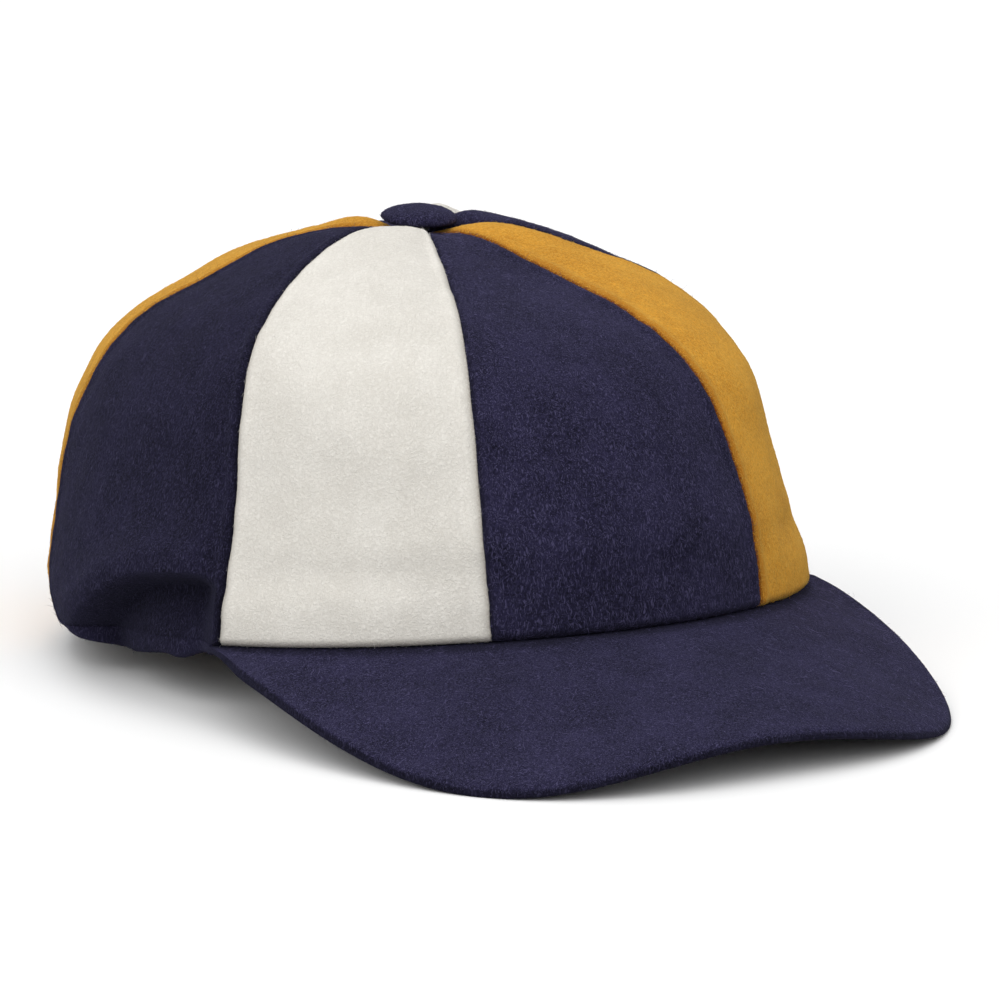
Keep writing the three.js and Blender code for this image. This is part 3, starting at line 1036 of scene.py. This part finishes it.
@dataclass
class Crown:
    """The eight sewn panels of the crown, in order from the front toward the wearer's right."""

    form: CrownForm = field(default_factory=CrownForm)
    seams: SeamPlan = field(default_factory=SeamPlan)
    thickness: float = 2.0
    seam_gap: float = 0.04
    seam_sink: float = 0.5
    sink_power: int = 3
    seam_roll: float = 0.55
    rolls_across: float = 5.0
    narrow_widths: tuple[float, float] = (6.0, 26.0)
    allowance_rise: float = 0.5
    allowance_place: float = 2.0
    allowance_spread: float = 1.3
    hem_roll: float = 1.9
    pucker_height: float = 0.07
    pucker_reach: float = 4.5
    puff_spread: float = 9.0
    shoulder_sag: float = 1.0
    shoulder_radius: float = 44.0
    shoulder_spread: float = 18.0
    nap_room: float = 0.45
    edge_fuzz: float = 6.0
    hem_ends: tuple[float, float] = (62.8, 66.8)
    # Painted shadow along the hem over the peak, and painted shade by the seams
    hem_crease_shade: float = 0.9
    hem_crease_shade_reach: float = 1.3
    crease_shade_reach: float = 0.9
    seam_band_shade_reach: float = 2.3
    rows: int = 132
    hem_rows: int = 12
    columns: int = 76
    column_crowding: float = 0.86
    first_seed: int = 100
    ripple_heights: tuple[float, float] = (0.0, 12.0)
    ripples: tuple[Ripple, ...] = (
        Ripple(wavelength=55.0, height=0.2, seed=11),
        Ripple(wavelength=21.0, height=0.1, seed=12),
        Ripple(wavelength=7.0, height=0.04, seed=13),
    )
    pucker: Ripple = Ripple(wavelength=8.5, height=1.0, seed=14)
    panels: tuple[PanelCut, ...] = (
        PanelCut("panel_front", Cloth.NAVY, puff=0.2),
        PanelCut("panel_front_right", Cloth.CREAM, puff=0.3),
        # Painted shade that darkens the whole side panel
        PanelCut("panel_right", Cloth.NAVY, puff=0.1, shade=0.4),
        # The gold panels get a wide band of painted shade by their seams
        PanelCut("panel_back_right", Cloth.GOLD, puff=2.2, puff_radius=15.0, flush=0.5),
        PanelCut("panel_back", Cloth.NAVY, puff=-2.0),
        PanelCut("panel_back_left", Cloth.CREAM, puff=4.0, puff_radius=16.0),
        PanelCut("panel_left", Cloth.NAVY, puff=2.9, puff_radius=12.0),
        PanelCut("panel_front_left", Cloth.GOLD, puff=0.3, flush=0.5),
    )

    def levels(self) -> Array:
        """Levels of the rows: a cosine crowding over the rolled hem, then even steps to the top."""
        sections = self.form.sections
        hem_level = self.hem_roll / self.form.height / sections[1].height / (len(sections) - 1)
        hem = hem_level * (1.0 - np.cos(np.linspace(0.0, math.pi / 2.0, self.hem_rows)))
        return np.concatenate([hem, np.linspace(hem_level, 1.0, self.rows - self.hem_rows + 1)[1:]])

    def sink(self, shares: Array) -> Array:
        """How far the cloth sinks toward its seams: seam sink |2 share - 1|^power."""
        return self.seam_sink * np.abs(2.0 * shares - 1.0) ** self.sink_power

    def relief(self, cut: PanelCut, base: Array, shares: Array, width: Array) -> tuple[Array, Array]:
        """How far the cloth stands off the crown's smooth surface, and its painted shade in creases.

        The seam's rolled edge and the even sink go down, and the seam allowance under the cloth lifts a low
        ridge beside it. The face lies deeper by the room that the hairs need. Puckers and the panel's puff
        round the button fade away from where they start. The hem is rolled over the peak only, because behind
        its corners the casing carries on from the cloth.

        Args:
            cut: The panel.
            base: Points of the smooth surface, rows x columns x 3.
            shares: Share of the way from seam to seam, for each column.
            width: Width of the panel in each row.

        Returns:
            The outward relief, and the painted shade in creases from 0 to 1.
        """
        share = shares[None, :]
        distance = np.minimum(share, 1.0 - share) * width[:, None]
        roll = np.minimum(self.seam_roll, width / self.rolls_across)[:, None]
        sink = self.sink(share) + rolled_edge(distance, roll)
        wide = smooth_step(width, *self.narrow_widths)[:, None]
        ridge = self.allowance_rise * bell(distance - self.allowance_place, self.allowance_spread) * wide
        pucker = self.pucker_height * self.pucker.at(base) * np.exp(-distance / self.pucker_reach) * wide
        radius = np.hypot(base[..., 0], base[..., 1])
        puff = cut.puff * np.sin(math.pi * share) * bell(radius - cut.puff_radius, self.puff_spread)
        sag = self.shoulder_sag * bell(radius - self.shoulder_radius, self.shoulder_spread)
        over_peak = 1.0 - smooth_step(degrees_from_front(base), *self.hem_ends)
        height = np.maximum(base[..., 2], 0.0)
        hem = rolled_edge(height, self.hem_roll) * over_peak
        waves = sum(ripple.at(base) for ripple in self.ripples) * smooth_step(height, *self.ripple_heights)
        # Painted shade by the seams, wider on the gold panels, and a painted shadow along the hem over the
        # peak
        flush = cut.flush * wide * bell(distance, self.seam_band_shade_reach)
        seam = np.maximum(bell(distance, self.crease_shade_reach), flush)
        crease_shade = np.maximum(seam, self.hem_crease_shade * over_peak * bell(height, self.hem_crease_shade_reach))
        return ridge + pucker + puff + waves - sag - sink - hem - self.nap_room, crease_shade

    def faces(self, index: int) -> tuple[Array, Array, Array, Array]:
        """Works out one panel. Its cloth hangs level at the rim.

        Args:
            index: Number of the panel.

        Returns:
            The outer and the inner face, and the outer face's painted shade in creases and painted shade.
        """
        levels = self.levels()
        start = self.seams.bearings(index - 1, levels)
        end = self.seams.bearings(index, levels)
        edge = self.form.points(end[:, None], levels)[:, 0]
        radius = np.hypot(edge[:, 0], edge[:, 1])
        inset = self.seam_gap / 2.0 / radius
        shares = to_ends(self.columns, self.column_crowding)
        bearings = (start + inset)[:, None] + (end - start - 2.0 * inset)[:, None] * shares[None, :]
        base = self.form.points(bearings, levels)
        normal = self.form.normals(bearings, levels)
        normal[0, :, 2] = 0.0
        normal[0] /= np.linalg.norm(normal[0], axis=-1, keepdims=True)
        relief, crease_shade = self.relief(self.panels[index], base, shares, (end - start) * radius)
        outer = base + normal * relief[..., None]
        inner = base - normal * (self.sink(shares) + self.thickness)[None, :, None]
        # Painted shade: the panel's own share and the painted shadow under the side fold, combined
        fold_shade = self.form.side_fold.shade_at(degrees_from_front(base), base[..., 2])
        return outer, inner, crease_shade, 1.0 - (1.0 - self.panels[index].shade) * (1.0 - fold_shade)

    def build(self, shop: Workshop) -> None:
        """Makes and dresses the eight panels and the hairs on them."""
        for index, cut in enumerate(self.panels):
            outer, inner, crease_shade, shade = self.faces(index)
            skin = closed_wall(outer, inner, crease_shade, shade, shade)
            shop.finish_piece(skin, f"{cut.name}_cloth", cut.name, cut.cloth)
            # The same mask of painted shade in the creases also thickens the hairs there
            seed, fuzz = self.first_seed + index, self.edge_fuzz * crease_shade
            shop.finish_nap(outer, f"{cut.name}_nap", cut.cloth, seed, fuzz, shade)


@dataclass
class Button:
    """The covered button: a flattened dome that leans with the crown, with faint pleats under its edge."""

    radius: float = 9.3
    height: float = 4.7
    lean: float = 10.0
    seat: float = 90.5
    waist: float = 0.36
    side_power: float = 0.78
    under_power: float = 0.8
    top_power: float = 1.15
    middle: float = 0.3
    pleats: int = 14
    pleat_depth: float = 0.22
    pleat_turns: tuple[float, float] = (-0.5, 0.7)
    crease_shaded_rings: tuple[float, float] = (6.0, 13.0)
    bare_rings: tuple[int, int] = (10, 4)
    rows: int = 40
    columns: int = 112
    nap_seed: int = 131
    ripple: Ripple = Ripple(wavelength=6.0, height=0.07, seed=31)

    def face(self) -> Array:
        """The button's skin as rows of rings from the underside's middle to the top's middle.

        Each ring's radius and height follow a superellipse, sharper below than above. The pleats draw the
        lower rings in by depth (cos(pleats angle) - 1) / 2.

        Returns:
            Rows x columns x 3 points about the button's own seat.
        """
        turn = np.linspace(-math.pi / 2.0, math.pi / 2.0, self.rows)[1:-1]
        across = np.cos(turn) ** self.side_power
        under = self.waist * (1.0 - np.abs(np.sin(turn)) ** self.under_power)
        over = self.waist + (1.0 - self.waist) * np.maximum(np.sin(turn), 0.0) ** self.top_power
        up = np.where(turn < 0.0, under, over)
        angle = np.linspace(0.0, 2.0 * math.pi, self.columns, endpoint=False)
        pleat = (np.cos(self.pleats * angle) - 1.0)[None, :] / 2.0
        gather = smooth_step(-turn, *self.pleat_turns)[:, None] * pleat
        radius = self.radius * across[:, None] + self.pleat_depth * gather
        height = np.broadcast_to(self.height * up[:, None], radius.shape)
        points = about_axis(radius, angle, height)
        outward = points - np.array([0.0, 0.0, self.height * self.middle])
        outward /= np.linalg.norm(outward, axis=-1, keepdims=True)
        return points + outward * self.ripple.at(points)[..., None]

    def seated(self, points: Array) -> Array:
        """Leans points about X by the lean and lifts them to the seat."""
        return turned_about_x(points, math.radians(self.lean)) + np.array([0.0, 0.0, self.seat])

    def build(self, shop: Workshop) -> None:
        """Makes the dome, closes it with a pole at either end, and grows its hairs."""
        face = self.seated(self.face())
        rings, columns = face.shape[:2]
        grid = np.arange(rings * columns).reshape(rings, columns)
        wrapped = np.concatenate([grid, grid[:, :1]], axis=1)
        low, high = grid.size, grid.size + 1
        bottom = np.stack([np.full(columns, low), wrapped[0, :-1], wrapped[0, 1:]], -1)
        top = np.stack([wrapped[-1, :-1], np.full(columns, high), wrapped[-1, 1:]], -1)
        poles = np.stack([face[0].mean(0), face[-1].mean(0)])
        points = np.concatenate([face.reshape(-1, 3), poles])
        # Painted shade under the button: the lower rings and the bottom pole take the darkest colour
        ring_crease_shade = 1.0 - smooth_step(np.arange(rings), *self.crease_shaded_rings)
        crease_shade = np.concatenate([np.repeat(ring_crease_shade, columns), [1.0, 0.0]])
        skin = Skin(points, grid_cells(wrapped), np.concatenate([bottom, top]), crease_shade=crease_shade)
        shop.finish_piece(skin, "button_cloth", "button", Cloth.NAVY)
        below, above = self.bare_rings
        napped = np.concatenate([face, face[:, :1]], axis=1)[below:-above]
        shop.finish_nap(napped, "button_nap", Cloth.NAVY, self.nap_seed)


@dataclass
class Peak:
    """The short stiff peak, arched from side to side and tucked under the front of the rim."""

    crown: CrownForm = field(default_factory=lambda: CrownForm(side_fold=SideFold(depth=0.0, roll=0.0)))
    reach: float = 48.5
    corner_bearing: float = 65.1
    curve_bearing: float = 66.5
    squareness: float = 3.0
    nip: float = 1.9
    front_drop: float = 18.8
    side_drop: float = 26.0
    drop_power: float = 2.05
    swell: float = 1.15
    thickness: float = 2.8
    corner_thinning: float = 0.6
    corner_reach: float = 0.2
    edge_shade: float = 0.6
    edge_width: float = 0.7
    root_shade: float = 0.5
    root_width: float = 2.0
    tuck: float = 3.6
    gap: float = 0.06
    nose: float = 0.75
    ripple_starts: tuple[float, float] = (0.0, 0.12)
    ripple_ends: tuple[float, float] = (0.8, 0.97)
    columns: int = 220
    rows: int = 60
    row_crowding: float = 2.2
    nap_seed: int = 141
    bare_columns: int = 3
    bare_rows: int = 9
    ripples: tuple[Ripple, ...] = (
        Ripple(wavelength=34.0, height=0.22, seed=41),
        Ripple(wavelength=9.0, height=0.06, seed=42),
    )

    def rim(self, bearings: Array) -> Array:
        """Points on the crown's rim."""
        return self.crown.points(bearings[None, :], np.zeros(1))[0]

    def ahead(self, turn: Array, power: float) -> Array:
        """Share of the way from the corners to the front: cos(turn)^(2 / power)."""
        return np.maximum(np.cos(turn), 0.0) ** (2.0 / power)

    def near_corner(self, turn: Array) -> Array:
        """Gives 1 at a corner, fading to 0 where the edge has run the corner's reach toward the front."""
        return 1.0 - smooth_step(self.ahead(turn, self.squareness), 0.0, self.corner_reach)

    def thickness_at(self, turn: Array) -> Array:
        """The peak's thickness, which thins toward the corners."""
        return self.thickness * (1.0 - self.corner_thinning * self.near_corner(turn))

    def edge(self, turn: Array) -> Array:
        """The outer edge: a squared oval from above that falls from the corners to the front.

        across = half width |sin turn|^(2/3), less the nip. forward = cos(turn)^(2/3). The fall is
        (front drop + side drop (across / half width)^2) cos(turn)^(2 / drop power). Near the corners the
        edge is drawn in to where the peak is sewn on.

        Args:
            turn: Radians from -90 degrees, the wearer's left corner, to 90, the right one.

        Returns:
            Points of the lower face's edge.
        """
        sewn, corner = self.rim(np.radians(np.array([self.corner_bearing, self.curve_bearing])))
        front = self.rim(np.zeros(1))[0, 1] - self.reach
        half_width = abs(corner[0])
        sideways = np.abs(np.sin(turn)) ** (2.0 / self.squareness)
        across = half_width * sideways - self.nip * np.sin(2.0 * np.abs(turn))
        drop = self.front_drop + self.side_drop * (across / half_width) ** 2
        drawn = self.near_corner(turn)
        across = across - (half_width - abs(sewn[0])) * drawn
        forward = (front - corner[1]) * self.ahead(turn, self.squareness)
        y = corner[1] + forward + (sewn[1] - corner[1]) * drawn
        z = corner[2] - self.gap - self.thickness_at(turn) - drop * self.ahead(turn, self.drop_power)
        return np.stack([-np.sign(turn) * across, y, z], -1)

    def root(self, turn: Array) -> Array:
        """The inner edge, drawn in under the rim by the tuck."""
        rim = self.rim(2.0 * turn * math.radians(self.corner_bearing) / math.pi)
        tucked = 1.0 - self.tuck / np.hypot(rim[:, 0], rim[:, 1])
        low = rim[:, 2] - self.gap - self.thickness_at(turn)
        return np.stack([rim[:, 0] * tucked, rim[:, 1] * tucked, low], -1)

    def faces(self) -> tuple[Array, Array]:
        """The upper and lower faces, from the rounded outer edge to the root.

        A point lies between edge and root by its inward share, and its height falls as (1 - inward)^swell.
        The two faces part by thickness sqrt(1 - flank^2), where flank goes from 1 at the edge to 0 at the
        nose's share of a thickness in.

        Returns:
            Two grids, rows x columns x 3.
        """
        turn = np.linspace(-math.pi / 2.0, math.pi / 2.0, self.columns)
        edge, root = self.edge(turn), self.root(turn)
        climb = np.linspace(0.0, 1.0, self.rows)[:, None]
        inward = climb**self.row_crowding
        middle = edge[None] * (1.0 - inward[..., None]) + root[None] * inward[..., None]
        fall = edge[None, :, 2] - root[None, :, 2]
        middle[..., 2] = root[None, :, 2] + fall * (1.0 - inward) ** self.swell
        thick = self.thickness_at(turn)[None, :]
        middle[..., 2] += thick / 2.0
        flank = np.clip(1.0 - inward * (self.reach + self.tuck) / (self.thickness * self.nose), 0.0, 1.0)
        half = thick / 2.0 * np.sqrt(np.maximum(1.0 - flank**2, 0.0))
        waves = sum(ripple.at(middle) for ripple in self.ripples) * smooth_step(inward, *self.ripple_starts)
        waves = waves * (1.0 - smooth_step(inward, *self.ripple_ends))
        upper, lower = middle.copy(), middle.copy()
        upper[..., 2] += half + waves
        lower[..., 2] -= half - waves
        return upper, lower

    def build(self, shop: Workshop) -> None:
        """Makes the peak's closed skin and the hairs on its upper face."""
        upper, lower = self.faces()
        # Painted shade: a dark line along the outer edge, a painted shadow at the root under the rim and the
        # whole lower face darker
        from_edge = np.linalg.norm(upper[..., :2] - upper[:1, :, :2], axis=-1)
        from_rim = np.linalg.norm(upper[..., :2] - upper[-1:, :, :2], axis=-1) - self.tuck
        edge_shade = self.edge_shade * (1.0 - smooth_step(from_edge, 0.0, self.edge_width))
        root_shade = self.root_shade * (1.0 - smooth_step(from_rim, 0.0, self.root_width))
        skin = closed_wall(upper, lower, 0.0, np.maximum(edge_shade, root_shade), self.edge_shade)
        shop.finish_piece(skin, "peak_cloth", "peak", Cloth.NAVY)
        napped = upper[self.bare_rows :, self.bare_columns : -self.bare_columns]
        shop.finish_nap(napped, "peak_nap", Cloth.NAVY, self.nap_seed)


@dataclass(frozen=True)
class Sag:
    """A stretch, mirrored on both sides, where the casing hangs lower, in degrees from the front."""

    bearing: float
    before: float
    after: float
    depth: float

    def at(self, bearings: Array) -> Array:
        """How far it adds to the hang at some degrees, as a bell with a spread of its own on either side."""
        away = bearings - self.bearing
        return self.depth * bell(away, np.where(away < 0.0, self.before, self.after))


@dataclass
class BackCasing:
    """The narrow gathered casing behind the peak's corners, whose lower edge sags in a few soft folds."""

    crown: CrownForm = field(default_factory=CrownForm)
    corner_bearing: float = 65.3
    depth: float = 1.8
    sags: tuple[Sag, ...] = (
        Sag(bearing=76.0, before=3.5, after=3.0, depth=1.3),
        Sag(bearing=97.0, before=24.0, after=6.5, depth=3.5),
        Sag(bearing=150.0, before=25.0, after=25.0, depth=0.7),
    )
    curl: float = 2.2
    curl_starts: tuple[float, float] = (92.0, 112.0)
    # Painted shade over the whole casing
    crease_shade: float = 0.25
    thickness: float = 2.4
    gathers: int = 30
    gather_height: float = 0.3
    gap: float = 0.02
    inset: float = 0.42
    columns: int = 420
    rows: int = 18
    row_crowding: float = 1.5
    nap_seed: int = 151

    def faces(self) -> tuple[Array, Array]:
        """The outer and inner faces.

        The radius is the rim's, less curl (1 - climb)^2, the gathers and a round edge.

        Returns:
            Two grids, rows x columns x 3.
        """
        climb = np.linspace(0.0, 1.0, self.rows)[:, None] ** self.row_crowding
        from_back = np.linspace(-1.0, 1.0, self.columns)[None, :] * (HALF_TURN - self.corner_bearing)
        bearing = np.radians(HALF_TURN + from_back)
        rim = self.crown.points(bearing, np.zeros(1))[0]
        from_front = HALF_TURN - np.abs(from_back)
        depth = self.depth + sum(sag.at(from_front) for sag in self.sags)
        hang = self.gap + (1.0 - climb) * depth
        gather = self.gather_height * np.cos(self.gathers * np.radians(from_back)) * (1.0 - climb)
        roll = rolled_edge(climb * depth, self.thickness / 2.0)
        curl = self.curl * (1.0 - climb) ** 2 * smooth_step(from_front, *self.curl_starts)
        radius = np.hypot(rim[:, 0], rim[:, 1])[None, :] - gather - curl - self.inset

        def face(inset: Array) -> Array:
            return about_axis(radius - inset, bearing, rim[None, :, 2] - hang)

        return face(roll), face(self.thickness - roll)

    def build(self, shop: Workshop) -> None:
        """Makes the casing's closed skin and its hairs."""
        outer, inner = self.faces()
        # Painted shadow of the side fold carried on over the casing
        shade = self.crown.side_fold.shade_at(degrees_from_front(outer), np.zeros(outer.shape[:2]))
        skin = closed_wall(outer, inner, self.crease_shade, shade, shade)
        shop.finish_piece(skin, "casing_cloth", "back_casing", Cloth.NAVY)
        shop.finish_nap(outer, "casing_nap", Cloth.NAVY, self.nap_seed, shade=shade)


@dataclass(frozen=True)
class SoftLight:
    """A soft far light. Its place and width are in degrees, as for the camera."""

    name: str
    azimuth: float
    elevation: float
    strength: float
    width: float


@dataclass
class Studio:
    """The plain floor, the soft lights and the camera at the photo's angle, in the frame's metres."""

    floor_size: float = 14.0
    floor_colour: tuple[float, float, float] = (0.98, 0.98, 0.98)
    floor_bounce: tuple[float, float, float] = (0.5, 0.5, 0.5)
    sky: float = 0.32
    aim: tuple[float, float, float] = (0.0152, 0.0145, 0.0362)
    azimuth: float = -31.12
    elevation: float = 11.03
    roll: float = 0.42
    distance: float = 0.98
    lens: float = 144.2
    clip_start: float = 0.05
    lights: tuple[SoftLight, ...] = (
        SoftLight("overhead_light", azimuth=0.0, elevation=88.0, strength=0.85, width=60.0),
        SoftLight("left_light", azimuth=-75.0, elevation=36.0, strength=1.3, width=60.0),
        SoftLight("right_light", azimuth=8.0, elevation=38.0, strength=0.75, width=55.0),
        SoftLight("back_light", azimuth=162.0, elevation=48.0, strength=0.6, width=50.0),
    )

    def lay_floor(self) -> None:
        """Lays a plain pale floor just under the cap."""
        half = self.floor_size / 2.0
        mesh = bpy.data.meshes.new("floor")
        corners = [(x * half, y * half, 0.0) for x, y in ((-1, -1), (1, -1), (1, 1), (-1, 1))]
        mesh.from_pydata(corners, [], [range(4)])
        floor = bpy.data.objects.new("floor", mesh)
        bpy.context.scene.collection.objects.link(floor)
        sheet = NodeSheet.for_material("plain_floor")
        seen = sheet.add("ShaderNodeLightPath").outputs["Is Camera Ray"]
        sheet.finish(0.0, WHITE, sheet.mix(seen, self.floor_bounce, self.floor_colour))
        mesh.materials.append(sheet.owner)

    def hang_lights(self) -> None:
        """Hangs the soft lights facing the cap and sets an even pale sky."""
        for plan in self.lights:
            lamp = bpy.data.lights.new(plan.name, "SUN")
            lamp.energy = plan.strength
            lamp.angle = math.radians(plan.width)
            light = bpy.data.objects.new(plan.name, lamp)
            right, up, back = looking_axes(plan.azimuth, plan.elevation, 0.0)
            light.matrix_world = axes_at(right, up, back, back)
            bpy.context.scene.collection.objects.link(light)
        world = bpy.data.worlds.new("pale_sky")
        world.use_nodes = True
        background = world.node_tree.nodes["Background"].inputs
        background["Color"].default_value = (*WHITE, 1.0)
        background["Strength"].default_value = self.sky
        bpy.context.scene.world = world

    def set_camera(self) -> None:
        """Stands the camera at the photo's bearing, height and slight roll."""
        right, up, back = looking_axes(self.azimuth, self.elevation, self.roll)
        camera = bpy.data.objects.new("camera", bpy.data.cameras.new("camera"))
        camera.data.lens = self.lens
        camera.data.clip_start = self.clip_start
        camera.matrix_world = axes_at(right, up, back, np.array(self.aim) + back * self.distance)
        bpy.context.scene.collection.objects.link(camera)
        bpy.context.scene.camera = camera

    def build(self) -> None:
        """Sets up the whole studio."""
        self.lay_floor()
        self.hang_lights()
        self.set_camera()
        bpy.context.scene.view_settings.view_transform = "Standard"


def looking_axes(azimuth: float, elevation: float, roll: float) -> tuple[Array, Array, Array]:
    """Axes of a camera or light that looks at the cap: back = (sin a cos e, -cos a cos e, sin e).

    Args:
        azimuth: Degrees, 0 for one that looks along +Y.
        elevation: Degrees over the floor.
        roll: Degrees by which the right axis is turned toward the up axis.

    Returns:
        The right, up and back axes.
    """
    a, e, r = (math.radians(v) for v in (azimuth, elevation, roll))
    back = np.array([math.sin(a) * math.cos(e), -math.cos(a) * math.cos(e), math.sin(e)])
    level = np.array([math.cos(a), math.sin(a), 0.0])
    right = level * math.cos(r) + np.cross(back, level) * math.sin(r)
    return right, np.cross(back, right), back


def axes_at(right: Array, up: Array, back: Array, place: Array) -> Matrix:
    """Makes the matrix of an object from its three axes and its place."""
    columns = np.stack([right, up, back, place], axis=1)
    return Matrix([*columns.tolist(), [0.0, 0.0, 0.0, 1.0]])


def main() -> None:
    """Builds the cap's sub-assemblies in order, then the studio."""
    logging.basicConfig(level=logging.INFO, format="%(message)s")
    shop = Workshop(Placement.from_record(frame["record"]), Wardrobe.filled(), NapPlan())
    Crown().build(shop)
    Button().build(shop)
    Peak().build(shop)
    BackCasing().build(shop)
    Studio().build()


if __name__ == "__main__":
    main()
